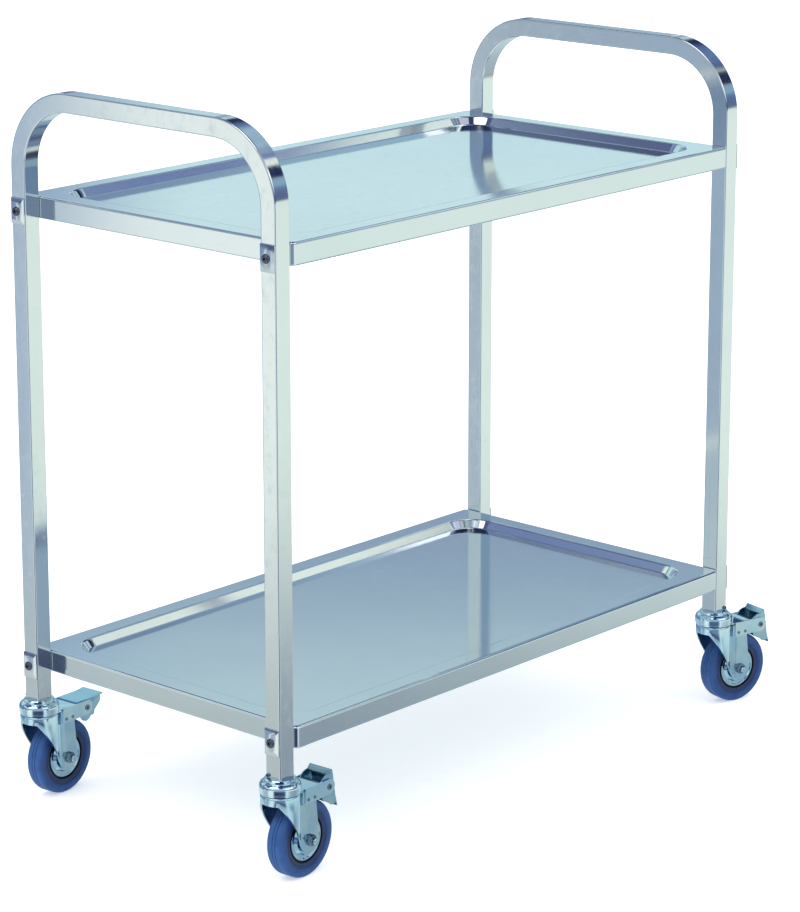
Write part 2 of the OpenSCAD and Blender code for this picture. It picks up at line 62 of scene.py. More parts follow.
# ---- Studio ------------------------------------------------------------------
# A white floor that runs on out of sight, a soft key light from the left and a soft fill
# from the right. Bright steel shows only what it mirrors, so the room round the trolley
# is hung with pale and dark sheets. They are seen in reflections and nowhere else.

camera = bpy.data.objects.new("camera", bpy.data.cameras.new("camera"))
bpy.context.scene.collection.objects.link(camera)
bpy.context.scene.camera = camera
camera_azimuth = math.radians(-47.87)
camera_elevation = math.radians(13.75)
camera_roll = math.radians(-0.11)
camera_stand = (-3.278, -2.894, 1.6067)
back = Vector((
    math.sin(camera_azimuth) * math.cos(camera_elevation),
    -math.cos(camera_azimuth) * math.cos(camera_elevation),
    math.sin(camera_elevation),
))
aim = (-back).to_track_quat("-Z", "Y").to_matrix().to_4x4()
camera.matrix_world = (
    Matrix.Translation(camera_stand) @ aim @ Matrix.Rotation(camera_roll, 4, "Z")
)
camera.data.sensor_width = 36
camera.data.lens = 132.2
camera.data.shift_x = 0.03
camera.data.shift_y = -0.1
camera.data.clip_end = 200

floor_reach = 40
bm = bmesh.new()
bmesh.ops.create_circle(bm, cap_ends=True, radius=floor_reach, segments=96)
floor = bpy.data.objects.new("floor", bpy.data.meshes.new("floor"))
bm.to_mesh(floor.data)
bm.free()
bpy.context.scene.collection.objects.link(floor)
floor.visible_glossy = False
paper = bpy.data.materials.new("pale_paper")
paper.use_nodes = True
n, k = paper.node_tree.nodes, paper.node_tree.links
paper_shader = n["Principled BSDF"]
place = n.new("ShaderNodeTexCoord")
fibre = n.new("ShaderNodeTexNoise")
fibre.inputs["Scale"].default_value = 3
k.new(place.outputs["Object"], fibre.inputs["Vector"])
tone = n.new("ShaderNodeValToRGB")
tone.color_ramp.elements[0].color = (0.88, 0.89, 0.90, 1)
tone.color_ramp.elements[1].color = (0.92, 0.93, 0.94, 1)
k.new(fibre.outputs["Fac"], tone.inputs["Fac"])
k.new(tone.outputs["Color"], paper_shader.inputs["Base Color"])
paper_shader.inputs["Roughness"].default_value = 0.9
paper_shader.inputs["Specular IOR Level"].default_value = 0.1
paper_shader.inputs["Emission Color"].default_value = (0.97, 0.98, 1.0, 1)
paper_shader.inputs["Emission Strength"].default_value = 0.42
floor.data.materials.append(paper)


def soft_sun(name, azimuth, elevation, strength, spread, colour):
    """A broad soft light that shines on everything alike. Azimuth 0 is the front, and the
    left is negative."""
    sun = bpy.data.objects.new(name, bpy.data.lights.new(name, "SUN"))
    sun.data.energy = strength
    sun.data.angle = math.radians(spread)
    sun.data.color = colour
    a, e = math.radians(azimuth), math.radians(elevation)
    towards = Vector((math.sin(a) * math.cos(e), -math.cos(a) * math.cos(e), math.sin(e)))
    sun.rotation_mode = "QUATERNION"
    sun.rotation_quaternion = towards.to_track_quat("Z", "Y")
    bpy.context.scene.collection.objects.link(sun)


soft_sun("key_light", -95, 58, 0.7, 40, (1.0, 1.0, 0.98))
soft_sun("fill_light", 10, 45, 0.35, 50, (0.94, 0.97, 1.0))

world = bpy.data.worlds.new("studio")
bpy.context.scene.world = world
world.use_nodes = True
world.cycles.sampling_method = "NONE"
wn, wl = world.node_tree.nodes, world.node_tree.links
wn.clear()
room_light = wn.new("ShaderNodeBackground")
room_light.inputs["Color"].default_value = (0.96, 0.98, 1.0, 1)
room_light.inputs["Strength"].default_value = 1.0
direction = wn.new("ShaderNodeTexCoord")
to_room_axes = wn.new("ShaderNodeMapping")
to_room_axes.inputs["Rotation"].default_value = (0, 0, -camera_azimuth)
parts = wn.new("ShaderNodeSeparateXYZ")
wl.new(direction.outputs["Generated"], to_room_axes.inputs["Vector"])
wl.new(to_room_axes.outputs["Vector"], parts.inputs["Vector"])
frontwards = wn.new("ShaderNodeMath")
frontwards.operation = "MULTIPLY"
frontwards.inputs[1].default_value = -1
wl.new(parts.outputs["Y"], frontwards.inputs[0])
bearing = wn.new("ShaderNodeMath")
bearing.operation = "ARCTAN2"
wl.new(parts.outputs["X"], bearing.inputs[0])
wl.new(frontwards.outputs["Value"], bearing.inputs[1])
round_room = wn.new("ShaderNodeMapRange")
round_room.inputs["From Min"].default_value = -math.pi
round_room.inputs["From Max"].default_value = math.pi
wl.new(bearing.outputs["Value"], round_room.inputs["Value"])


def colours_along(value, stops):
    """A ramp of colours, each at its place along a value from 0 to 1."""
    ramp = wn.new("ShaderNodeValToRGB")
    ramp.color_ramp.interpolation = "EASE"
    points = ramp.color_ramp.elements
    while len(points) < len(stops):
        points.new(0.5)
    for point, (place, colour) in zip(points, stops):
        point.position = place
        point.color = (*colour, 1)
    wl.new(value, ramp.inputs["Fac"])
    return ramp.outputs["Color"]


def change_over(value, start, end, before, after):
    """One colour up to the start of a stretch and another past its end."""
    step = wn.new("ShaderNodeMapRange")
    step.interpolation_type = "SMOOTHSTEP"
    step.inputs["From Min"].default_value = start
    step.inputs["From Max"].default_value = end
    wl.new(value, step.inputs["Value"])
    mix = wn.new("ShaderNodeMix")
    mix.data_type = "RGBA"
    wl.new(step.outputs["Result"], mix.inputs["Factor"])
    wl.new(before, mix.inputs["A"])
    wl.new(after, mix.inputs["B"])
    return mix.outputs["Result"]


def bearings(stops):
    """Colours by the side of the room: 0 is the front, -90 the left and 90 the right."""
    return colours_along(
        round_room.outputs["Result"], [(0.5 + degrees / 360, colour) for degrees, colour in stops]
    )


navy = (0.015, 0.025, 0.09)
dusk = (0.12, 0.17, 0.33)
grey_blue = (0.24, 0.33, 0.48)
pale_blue = (0.60, 0.76, 0.84)
white = (1.0, 1.08, 1.06)
# above the horizon, by height: behind the trolley, beside it and in front of it
behind = colours_along(parts.outputs["Z"], [
    (0.00, (0.08, 0.12, 0.26)), (0.115, (0.12, 0.17, 0.32)), (0.14, (0.30, 0.41, 0.55)),
    (0.16, (0.64, 0.88, 0.94)), (0.20, (0.72, 0.95, 0.97)), (0.25, (0.27, 0.37, 0.52)),
    (0.29, (0.28, 0.38, 0.54)), (0.335, (0.56, 0.74, 0.80)), (0.39, (0.58, 0.82, 0.90)),
    (0.42, navy), (0.50, navy),
    (0.60, (0.12, 0.20, 0.42)), (0.68, (0.42, 0.62, 0.78)), (0.75, (0.26, 0.36, 0.54)),
    (0.90, navy),
])
behind_left = colours_along(parts.outputs["Z"], [
    (0.00, (0.12, 0.17, 0.32)), (0.12, (0.12, 0.17, 0.32)), (0.17, (0.32, 0.43, 0.62)),
    (0.315, (0.28, 0.39, 0.57)), (0.345, (0.60, 0.86, 0.94)), (0.60, (0.54, 0.80, 0.88)),
    (0.68, (0.10, 0.14, 0.32)), (0.80, (0.24, 0.32, 0.50)),
])
beside = colours_along(parts.outputs["Z"], [
    (0.00, dusk), (0.12, dusk), (0.18, (0.14, 0.22, 0.42)), (0.25, (0.26, 0.46, 0.62)),
    (0.34, (0.30, 0.42, 0.60)), (0.37, navy), (0.50, navy), (0.535, (1.00, 1.10, 1.02)),
    (0.588, (0.90, 1.02, 0.95)), (0.605, (0.17, 0.24, 0.48)), (0.635, (0.18, 0.25, 0.50)),
    (0.66, (0.34, 0.45, 0.62)), (0.70, (0.12, 0.15, 0.29)), (0.90, navy),
])
in_front = colours_along(parts.outputs["Z"], [
    (0.00, (0.055, 0.080, 0.17)), (0.10, (0.07, 0.10, 0.24)), (0.20, (0.34, 0.48, 0.66)),
    (0.34, (0.80, 0.92, 0.93)), (0.52, (1.05, 1.12, 1.08)), (0.64, (0.06, 0.09, 0.26)),
    (0.90, (0.03, 0.05, 0.16)),
])
near_side = change_over(parts.outputs["Y"], -0.20, 0.10, in_front, beside)
far_side = change_over(parts.outputs["X"], -0.11, -0.05, behind_left, behind)
above = change_over(parts.outputs["Y"], 0.34, 0.44, near_side, far_side)
# below the horizon, by side: a band just under it, the far floor and the near floor
low_wall = bearings([
    (-180, (0.18, 0.25, 0.39)), (-110, (0.24, 0.34, 0.50)), (-90.3, (0.30, 0.42, 0.62)),
    (-89.2, (1.02, 1.10, 1.07)), (-84.6, (1.02, 1.10, 1.06)), (-83, (0.38, 0.48, 0.60)),
    (-72, (0.36, 0.50, 0.68)), (-52, white), (-38, white), (-26, grey_blue), (22, grey_blue),
    (36, (0.90, 1.0, 0.98)), (86, (0.84, 0.98, 0.92)), (110, (0.88, 1.0, 0.96)),
    (150, (0.50, 0.62, 0.74)), (180, (0.18, 0.25, 0.39)),
])
far_floor = bearings([
    (-180, pale_blue), (-120, (0.80, 0.92, 0.95)), (-95, (0.52, 0.60, 0.62)),
    (-84, (0.52, 0.60, 0.62)), (-77, (0.42, 0.50, 0.57)), (-60, white), (-42, white),
    (-28, navy), (24, navy), (38, (0.80, 0.94, 0.98)), (62, (0.34, 0.44, 0.52)),
    (92, (0.28, 0.35, 0.43)), (104, (0.40, 0.49, 0.54)), (140, (0.62, 0.76, 0.84)),
    (180, pale_blue),
])
near_floor = bearings([
    (-180, pale_blue), (-90, (0.62, 0.72, 0.76)), (-45, (0.86, 0.94, 0.97)),
    (0, (0.46, 0.57, 0.68)), (45, (0.80, 0.92, 0.96)), (90, (0.42, 0.50, 0.57)),
    (180, pale_blue),
])
whole_floor = change_over(parts.outputs["Z"], -0.40, -0.375, near_floor, far_floor)
below = change_over(parts.outputs["Z"], -0.345, -0.265, whole_floor, low_wall)
mirrored_room = wn.new("ShaderNodeBackground")
wl.new(
    change_over(parts.outputs["Z"], -0.04, 0.0, below, above), mirrored_room.inputs["Color"]
)
ray = wn.new("ShaderNodeLightPath")
which = wn.new("ShaderNodeMixShader")
wl.new(ray.outputs["Is Glossy Ray"], which.inputs["Fac"])
wl.new(room_light.outputs["Background"], which.inputs[1])
wl.new(mirrored_room.outputs["Background"], which.inputs[2])
world_out = wn.new("ShaderNodeOutputWorld")
wl.new(which.outputs["Shader"], world_out.inputs["Surface"])
bpy.context.scene.view_settings.view_transform = "Standard"


# ---- End frames --------------------------------------------------------------
# Square stainless tube, bent twice to make two posts and a handle, then ground along
# its length with a fine belt and left bright.


def brushed_steel(name, colour, roughness, along, grain, dent=0.02, cloud=0.05, wear=0.07):
    """Bright steel with fine grinding lines along one axis, faint clouds and handling marks.
    grain is how much the lines rough up the surface, dent how deep they look, and wear how
    much rougher the handled spots are."""
    m = bpy.data.materials.new(name)
    m.use_nodes = True
    n, k = m.node_tree.nodes, m.node_tree.links
    shader = n["Principled BSDF"]
    shader.inputs["Metallic"].default_value = 1.0
    lines_along, lines_across = 60, 2600
    place = n.new("ShaderNodeTexCoord")
    stretch = n.new("ShaderNodeMapping")
    stretch.inputs["Scale"].default_value = [
        lines_along if axis == along else lines_across for axis in "XYZ"
    ]
    lines = n.new("ShaderNodeTexNoise")
    lines.inputs["Scale"].default_value = 1
    lines.inputs["Detail"].default_value = 3
    k.new(place.outputs["Object"], stretch.inputs["Vector"])
    k.new(stretch.outputs["Vector"], lines.inputs["Vector"])
    clouds = n.new("ShaderNodeTexNoise")
    clouds.inputs["Scale"].default_value = 9
    clouds.inputs["Detail"].default_value = 4
    k.new(place.outputs["Object"], clouds.inputs["Vector"])
    marks = n.new("ShaderNodeTexNoise")
    marks.inputs["Scale"].default_value = 70
    marks.inputs["Detail"].default_value = 5
    marks.inputs["Roughness"].default_value = 0.65
    k.new(place.outputs["Object"], marks.inputs["Vector"])
    tint = n.new("ShaderNodeMapRange")
    tint.inputs["From Min"].default_value = 0.3
    tint.inputs["From Max"].default_value = 0.7
    tint.inputs["To Min"].default_value = 1 - cloud
    tint.inputs["To Max"].default_value = 1.0
    k.new(clouds.outputs["Fac"], tint.inputs["Value"])
    tone = n.new("ShaderNodeMix")
    tone.data_type = "RGBA"
    tone.blend_type = "MULTIPLY"
    tone.inputs["Factor"].default_value = 1
    tone.inputs["A"].default_value = (*colour, 1)
    k.new(tint.outputs["Result"], tone.inputs["B"])
    k.new(tone.outputs["Result"], shader.inputs["Base Color"])
    worn = n.new("ShaderNodeMapRange")
    worn.inputs["From Min"].default_value = 0.5
    worn.inputs["From Max"].default_value = 0.75
    worn.inputs["To Max"].default_value = wear
    k.new(marks.outputs["Fac"], worn.inputs["Value"])
    rough = n.new("ShaderNodeMapRange")
    rough.inputs["From Min"].default_value = 0.25
    rough.inputs["From Max"].default_value = 0.75
    rough.inputs["To Min"].default_value = roughness - grain
    rough.inputs["To Max"].default_value = roughness + grain
    k.new(lines.outputs["Fac"], rough.inputs["Value"])
    total = n.new("ShaderNodeMath")
    total.operation = "ADD"
    k.new(rough.outputs["Result"], total.inputs[0])
    k.new(worn.outputs["Result"], total.inputs[1])
    k.new(total.outputs["Value"], shader.inputs["Roughness"])
    bump = n.new("ShaderNodeBump")
    bump.inputs["Strength"].default_value = dent
    bump.inputs["Distance"].default_value = 0.0002
    k.new(lines.outputs["Fac"], bump.inputs["Height"])
    k.new(bump.outputs["Normal"], shader.inputs["Normal"])
    return m


def clothe(node, material):
    """Gives a finished node its material, on every slot."""
    mesh = frame["nodes"][node].data
    mesh.materials.clear()
    mesh.materials.append(material)


ground_tube = brushed_steel("ground_tube", (0.80, 0.825, 0.82), 0.10, "Z", 0.03)
for side in ("left", "right"):
    clothe(f"end_frame_{side}", ground_tube)


# ---- Trays -------------------------------------------------------------------
# One sheet of stainless steel each, with a recess pressed into it, its edge folded
# down into a skirt and hemmed. The rolled sheet keeps its fine grain along the tray.

tray_sheet = brushed_steel(
    "rolled_tray_sheet", (0.76, 0.80, 0.81), 0.09, "X", 0.03, cloud=0.04, wear=0.02
)
for tray in ("upper_tray", "lower_tray"):
    clothe(tray, tray_sheet)


# ---- Clamps ------------------------------------------------------------------
# Small pressed plates outside the posts, each held by a domed socket screw that runs
# through the post and the tray's skirt into a nut. The plates' cut edges are tumbled.

plate_steel = brushed_steel("pressed_plate", (0.78, 0.80, 0.80), 0.14, "Z", 0.03)
# the plates' rounded edges are painted darker than the plates: painted shade along the cut edges
painted_shade_plate_edge = brushed_steel("plate_edge", (0.40, 0.43, 0.48), 0.18, "Z", 0.03)
plate_softness = 0.0005
screw_steel = brushed_steel("turned_screw", (0.13, 0.14, 0.17), 0.14, "X", 0.05)


def tumbled(node, name, material, softness, edge_material):
    """A copy of a finished pressing whose cut edges are rounded to a softness in metres,
    with the rounded edges painted in the edge material: painted light along the edges,
    darker as painted shade on plates and brakes, lighter as a painted highlight on forks."""
    merge_distance = 1e-6
    flat_angle = math.radians(0.3)
    cut_edge_angle = math.radians(35)
    crease_angle = math.radians(20)
    bm = bmesh.new()
    bm.from_mesh(frame["nodes"][node].data)
    bmesh.ops.remove_doubles(bm, verts=bm.verts, dist=merge_distance)
    bmesh.ops.dissolve_limit(
        bm, angle_limit=flat_angle, verts=bm.verts, edges=bm.edges,
        use_dissolve_boundaries=False,
    )
    cut_edges = [
        e for e in bm.edges
        if len(e.link_faces) == 2
        and e.calc_face_angle(0) > cut_edge_angle
        and e.calc_length() > 0.5 * softness
    ]
    rounded = bmesh.ops.bevel(
        bm, geom=cut_edges, offset=softness, offset_type="OFFSET", segments=2, profile=0.5,
        affect="EDGES", clamp_overlap=True, material=-1,
    )
    # the rounded edges take the edge material, the painted shade or painted highlight that the
    # caller gives
    for f in rounded["faces"]:
        f.material_index = 1
    for f in bm.faces:
        f.smooth = True
    mesh = bpy.data.meshes.new(name)
    bm.to_mesh(mesh)
    bm.free()
    mesh.set_sharp_from_angle(angle=crease_angle)
    mesh.materials.append(material)
    mesh.materials.append(edge_material)
    piece = bpy.data.objects.new(name, mesh)
    bpy.context.scene.collection.objects.link(piece)
    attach(piece, frame["nodes"][node]["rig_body"])
    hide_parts(node)


tumbled(
    "clamp_plates", "clamp_plates_pressed", plate_steel, plate_softness,
    painted_shade_plate_edge,
)
clothe("clamp_screws", screw_steel)
clothe("clamp_nuts", screw_steel)


# ---- Castor heads ------------------------------------------------------------
# Zinc-plated steel: a plug and collar under each post, held by a small hollow pin, and
# a domed cap over a ring of balls that the fork hangs from.


def bright_zinc(name, colour, roughness, speckle=0.04):
    """Blue-passivated zinc: bright, a little milky, with patches of faint colour."""
    m = bpy.data.materials.new(name)
    m.use_nodes = True
    n, k = m.node_tree.nodes, m.node_tree.links
    shader = n["Principled BSDF"]
    shader.inputs["Metallic"].default_value = 1.0
    place = n.new("ShaderNodeTexCoord")
    patches = n.new("ShaderNodeTexNoise")
    patches.inputs["Scale"].default_value = 38
    patches.inputs["Detail"].default_value = 4
    crystals = n.new("ShaderNodeTexNoise")
    crystals.inputs["Scale"].default_value = 900
    crystals.inputs["Detail"].default_value = 2
    for texture in (patches, crystals):
        k.new(place.outputs["Object"], texture.inputs["Vector"])
    film = n.new("ShaderNodeValToRGB")
    film.color_ramp.elements[0].position = 0.33
    film.color_ramp.elements[0].color = (colour[0] * 0.84, colour[1] * 0.94, colour[2] * 1.04, 1)
    film.color_ramp.elements[1].position = 0.68
    film.color_ramp.elements[1].color = (colour[0] * 1.04, colour[1] * 1.02, colour[2] * 0.98, 1)
    k.new(patches.outputs["Fac"], film.inputs["Fac"])
    k.new(film.outputs["Color"], shader.inputs["Base Color"])
    rough = n.new("ShaderNodeMapRange")
    rough.inputs["From Min"].default_value = 0.3
    rough.inputs["From Max"].default_value = 0.7
    rough.inputs["To Min"].default_value = roughness - speckle
    rough.inputs["To Max"].default_value = roughness + speckle
    k.new(patches.outputs["Fac"], rough.inputs["Value"])
    k.new(rough.outputs["Result"], shader.inputs["Roughness"])
    bump = n.new("ShaderNodeBump")
    bump.inputs["Strength"].default_value = 0.08
    bump.inputs["Distance"].default_value = 0.0001
    k.new(crystals.outputs["Fac"], bump.inputs["Height"])
    k.new(bump.outputs["Normal"], shader.inputs["Normal"])
    return m


corners = ("front_left", "front_right", "rear_left", "rear_right")
head_zinc = bright_zinc("turned_zinc", (0.66, 0.79, 0.84), 0.09)
sheet_zinc = bright_zinc("pressed_zinc", (0.56, 0.73, 0.79), 0.13)
dark_zinc = bright_zinc("rivet_zinc", (0.22, 0.27, 0.32), 0.26)
ball_steel = bright_zinc("ball_steel", (0.62, 0.62, 0.64), 0.08, 0.02)
clothe("plug_lock_pins", dark_zinc)
clothe("swivel_balls", ball_steel)
for corner in corners:
    clothe(f"castor_plug_{corner}", head_zinc)
    clothe(f"swivel_cap_{corner}", head_zinc)


# ---- Forks -------------------------------------------------------------------
# One pressing of zinc-plated sheet: a round head and two flat cheeks that carry the
# axle. Tumbling rounds the cut edges slightly, and the rounded edges are painted in the
# lighter turned zinc as a painted highlight.

fork_softness = 0.0005
for corner in corners:
    # the rounded edges take the lighter turned zinc: a painted highlight along the cut edges
    tumbled(
        f"fork_{corner}", f"fork_pressed_{corner}", sheet_zinc, fork_softness,
        head_zinc,
    )


# ---- Brakes ------------------------------------------------------------------
# A bracket of thinner sheet riveted to the cheeks, and a rocking pedal on a hollow
# rivet: toe down locks the wheel, toe up frees it. The cut edges are painted near-black,
# painted shade along them, and the pedal is painted darker than the bracket, painted shade
# between the two.

bracket_zinc = bright_zinc("bracket_zinc", (0.66, 0.84, 0.88), 0.12)
# the pedal is a darker copy of the bracket's zinc: painted shade that sets it apart from the
# bracket
painted_shade_pedal_zinc = bright_zinc("painted_shade_pedal_zinc", (0.44, 0.62, 0.70), 0.17)
# the brake's rounded edges are painted near-black: painted shade along the cut edges
painted_shade_edge_zinc = bright_zinc("painted_shade_edge_zinc", (0.09, 0.12, 0.17), 0.20)
brake_softness = 0.0006
for corner in corners:
    for part, zinc in (("bracket", bracket_zinc), ("pedal", painted_shade_pedal_zinc)):
        tumbled(
            f"brake_{part}_{corner}", f"{part}_pressed_{corner}", zinc,
            brake_softness, painted_shade_edge_zinc,
        )
    clothe(f"bracket_rivets_{corner}", dark_zinc)
    clothe(f"pedal_pin_{corner}", dark_zinc)


# ---- Tyres -------------------------------------------------------------------
# A solid moulded tyre of blue rubber that doesn't mark the floor: a thin band round
# the discs, a plain sidewall, and a cross-hatched tread with two grooves in its middle.

axles = {joint["name"]: joint for joint in frame["record"]["behaviour"]["joints"]}
tyre_radius = 0.050
tyre_half = 0.0125
bead_radius = 0.0306
band_radius = 0.0384
core_radius = 0.022
core_half = 0.0077
shoulder = 0.0042
groove_depth = 0.0009
around_steps = 96
tyre_crease_angle = math.radians(38)


def onto_axle(corner):
    """Turns a shape spun round Z at the origin to the castor's own axle."""
    axle = axles[f"{corner}_wheel_spin"]
    along = Vector(axle["axis"]).normalized()
    up = Vector((0, 0, 1))
    turned = Matrix((up, along.cross(up), along)).transposed().to_4x4()
    return Matrix.Translation(axle["pos_m"]) @ turned


def on_section(r, side):
    """A point of the tyre's section, rounded so that it can be looked up again."""
    return round(r, 5), round(side, 5)


# the section of one half, from the bore's middle over bead, band and shoulder to the tread
bead_end = on_section(bead_radius + 0.0004, tyre_half - 0.0018)
band_start = on_section(bead_radius + 0.0010, tyre_half - 0.0013)
band_groove = [
    on_section(0.0343, tyre_half - 0.0012), on_section(0.0346, tyre_half - 0.0016),
    on_section(0.0350, tyre_half - 0.0016), on_section(0.0353, tyre_half - 0.0012),
]
band_end = on_section(band_radius - 0.0007, tyre_half - 0.0011)
band_step = on_section(band_radius - 0.0003, tyre_half - 0.0005)
sidewall_start = on_section(band_radius + 0.0002, tyre_half - 0.0001)
sidewall_end = on_section(0.0410, tyre_half)
shoulder_arc = [
    on_section(
        tyre_radius - shoulder + shoulder * math.cos(math.radians(angle)),
        tyre_half - shoulder + shoulder * math.sin(math.radians(angle)),
    )
    for angle in (84, 65, 45, 25, 8)
]
tread_start = on_section(tyre_radius, 0.0060)
tread_groove = [
    on_section(tyre_radius, 0.0030), on_section(tyre_radius - groove_depth, 0.0027),
    on_section(tyre_radius - groove_depth, 0.0021), on_section(tyre_radius, 0.0018),
]
tread_middle = on_section(tyre_radius, 0)
half_tyre = [
    on_section(core_radius, 0), on_section(core_radius, core_half),
    on_section(bead_radius, core_half), bead_end, band_start, *band_groove, band_end,
    band_step, sidewall_start, sidewall_end, *shoulder_arc, tread_start, *tread_groove,
    tread_middle,
]
section = half_tyre[:-1] + [(r, -side) for r, side in reversed(half_tyre[1:])]
run = [0.0]
for (r0, side0), (r1, side1) in zip(section, section[1:]):
    run.append(run[-1] + math.hypot(r1 - r0, side1 - side0))
tyre_run = run[-1] + core_half
share = {point: length / tyre_run for point, length in zip(section, run)}


def moulded_tyre(corner, material):
    """The tyre's section spun round its axle, unrolled onto a UV map of turn and section."""
    bm = bmesh.new()
    ring = [bm.verts.new((r, 0, side)) for r, side in section]
    outline = [bm.edges.new(pair) for pair in zip(ring, ring[1:] + ring[:1])]
    bmesh.ops.spin(
        bm, geom=ring + outline, cent=(0, 0, 0), axis=(0, 0, 1), angle=2 * math.pi,
        steps=around_steps, use_merge=True,
    )
    bmesh.ops.recalc_face_normals(bm, faces=bm.faces)
    uv = bm.loops.layers.uv.new("unrolled")
    for face in bm.faces:
        face.smooth = True
        middle = face.calc_center_median()
        turn = math.atan2(middle.y, middle.x)
        places = [share[on_section(math.hypot(v.co.x, v.co.y), v.co.z)] for v in face.verts]
        wraps = max(places) - min(places) > 0.5
        for loop, place in zip(face.loops, places):
            swing = math.atan2(loop.vert.co.y, loop.vert.co.x) - turn
            swing = (swing + math.pi) % (2 * math.pi) - math.pi
            if wraps and place < 0.5:
                place += 1
            loop[uv].uv = ((turn + swing) / (2 * math.pi), place)
    bm.transform(onto_axle(corner))
    mesh = bpy.data.meshes.new(f"tyre_moulded_{corner}")
    bm.to_mesh(mesh)
    bm.free()
    mesh.set_sharp_from_angle(angle=tyre_crease_angle)
    mesh.materials.append(material)
    piece = bpy.data.objects.new(f"tyre_moulded_{corner}", mesh)
    bpy.context.scene.collection.objects.link(piece)
    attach(piece, f"wheel_{corner}")
    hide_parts(f"tyre_{corner}")


def blue_rubber(name, tread, sidewall, band, bead, roughness):
    """Moulded rubber with a hatched tread, coloured by where it lies on the section: the
    sidewall and band are painted darker than the tread as painted shade, and the bead
    near-black as a painted shadow in the gap beside the discs.
    """
    m = bpy.data.materials.new(name)
    m.use_nodes = True
    n, k = m.node_tree.nodes, m.node_tree.links
    shader = n["Principled BSDF"]
    shader.inputs["Specular IOR Level"].default_value = 0.28
    shader.inputs["Sheen Weight"].default_value = 0.04
    unrolled = n.new("ShaderNodeUVMap")
    unrolled.uv_map = "unrolled"
    turn_and_place = n.new("ShaderNodeSeparateXYZ")
    k.new(unrolled.outputs["UV"], turn_and_place.inputs["Vector"])
    # how far along the section from the bore's middle, the same on both sides
    from_middle = n.new("ShaderNodeMath")
    from_middle.operation = "PINGPONG"
    from_middle.inputs[1].default_value = share[tread_middle]
    k.new(turn_and_place.outputs["Y"], from_middle.inputs[0])
    # the section's colours: painted shade on sidewall and band, a painted shadow on the bead
    zones_with_painted_shade = n.new("ShaderNodeValToRGB")
    stops = [
        (0.0, bead), (share[bead_end], bead), (share[band_start], band),
        (share[band_end], band), (share[sidewall_start], sidewall),
        (share[sidewall_end], sidewall), (share[tread_start], tread), (1.0, tread),
    ]
    while len(zones_with_painted_shade.color_ramp.elements) < len(stops):
        zones_with_painted_shade.color_ramp.elements.new(0.5)
    for point, (place, colour) in zip(zones_with_painted_shade.color_ramp.elements, stops):
        point.position = place
        point.color = (*colour, 1)
    k.new(from_middle.outputs["Value"], zones_with_painted_shade.inputs["Fac"])
    where = n.new("ShaderNodeTexCoord")
    bloom = n.new("ShaderNodeTexNoise")
    bloom.inputs["Scale"].default_value = 60
    bloom.inputs["Detail"].default_value = 5
    grain = n.new("ShaderNodeTexNoise")
    grain.inputs["Scale"].default_value = 1500
    for texture in (bloom, grain):
        k.new(where.outputs["Object"], texture.inputs["Vector"])
    dusty = n.new("ShaderNodeMapRange")
    dusty.inputs["From Min"].default_value = 0.3
    dusty.inputs["From Max"].default_value = 0.7
    dusty.inputs["To Min"].default_value = 0.80
    dusty.inputs["To Max"].default_value = 1.12
    k.new(bloom.outputs["Fac"], dusty.inputs["Value"])
    shade = n.new("ShaderNodeMix")
    shade.data_type = "RGBA"
    shade.blend_type = "MULTIPLY"
    shade.inputs["Factor"].default_value = 1
    k.new(zones_with_painted_shade.outputs["Color"], shade.inputs["A"])
    k.new(dusty.outputs["Result"], shade.inputs["B"])
    k.new(shade.outputs["Result"], shader.inputs["Base Color"])
    rough = n.new("ShaderNodeMapRange")
    rough.inputs["To Min"].default_value = roughness - 0.08
    rough.inputs["To Max"].default_value = roughness + 0.08
    k.new(bloom.outputs["Fac"], rough.inputs["Value"])
    k.new(rough.outputs["Result"], shader.inputs["Roughness"])
    # two sets of fine slanting ribs that cross on the tread
    ribs_around, ribs_across = 170, 96
    hatch = []
    for slant in (1, -1):
        ribs = n.new("ShaderNodeMapping")
        ribs.inputs["Scale"].default_value = (slant * ribs_around, ribs_across, 1)
        wave = n.new("ShaderNodeTexWave")
        wave.bands_direction = "DIAGONAL"
        wave.inputs["Scale"].default_value = 0.31
        k.new(unrolled.outputs["UV"], ribs.inputs["Vector"])
        k.new(ribs.outputs["Vector"], wave.inputs["Vector"])
        hatch.append(wave)
    crossed = n.new("ShaderNodeMath")
    crossed.operation = "MULTIPLY"
    k.new(hatch[0].outputs["Fac"], crossed.inputs[0])
    k.new(hatch[1].outputs["Fac"], crossed.inputs[1])
    on_tread = n.new("ShaderNodeMapRange")
    on_tread.inputs["From Min"].default_value = share[shoulder_arc[-1]]
    on_tread.inputs["From Max"].default_value = share[tread_start]
    k.new(from_middle.outputs["Value"], on_tread.inputs["Value"])
    kept_hatch = n.new("ShaderNodeMath")
    kept_hatch.operation = "MULTIPLY"
    k.new(crossed.outputs["Value"], kept_hatch.inputs[0])
    k.new(on_tread.outputs["Result"], kept_hatch.inputs[1])
    height = n.new("ShaderNodeMath")
    height.operation = "MULTIPLY_ADD"
    height.inputs[1].default_value = 0.12
    k.new(grain.outputs["Fac"], height.inputs[0])
    k.new(kept_hatch.outputs["Value"], height.inputs[2])
    bump = n.new("ShaderNodeBump")
    bump.inputs["Strength"].default_value = 0.7
    bump.inputs["Distance"].default_value = 0.0004
    k.new(height.outputs["Value"], bump.inputs["Height"])
    k.new(bump.outputs["Normal"], shader.inputs["Normal"])
    return m


# sidewall and band are darker copies of the tread's blue, painted shade; the bead is near-black,
# a painted shadow beside the discs
tyre_rubber = blue_rubber(
    "tyre_rubber", tread=(0.026, 0.095, 0.29), sidewall=(0.011, 0.050, 0.18),
    band=(0.014, 0.034, 0.105), bead=(0.005, 0.005, 0.009), roughness=0.5,
)
for corner in corners:
    moulded_tyre(corner, tyre_rubber)


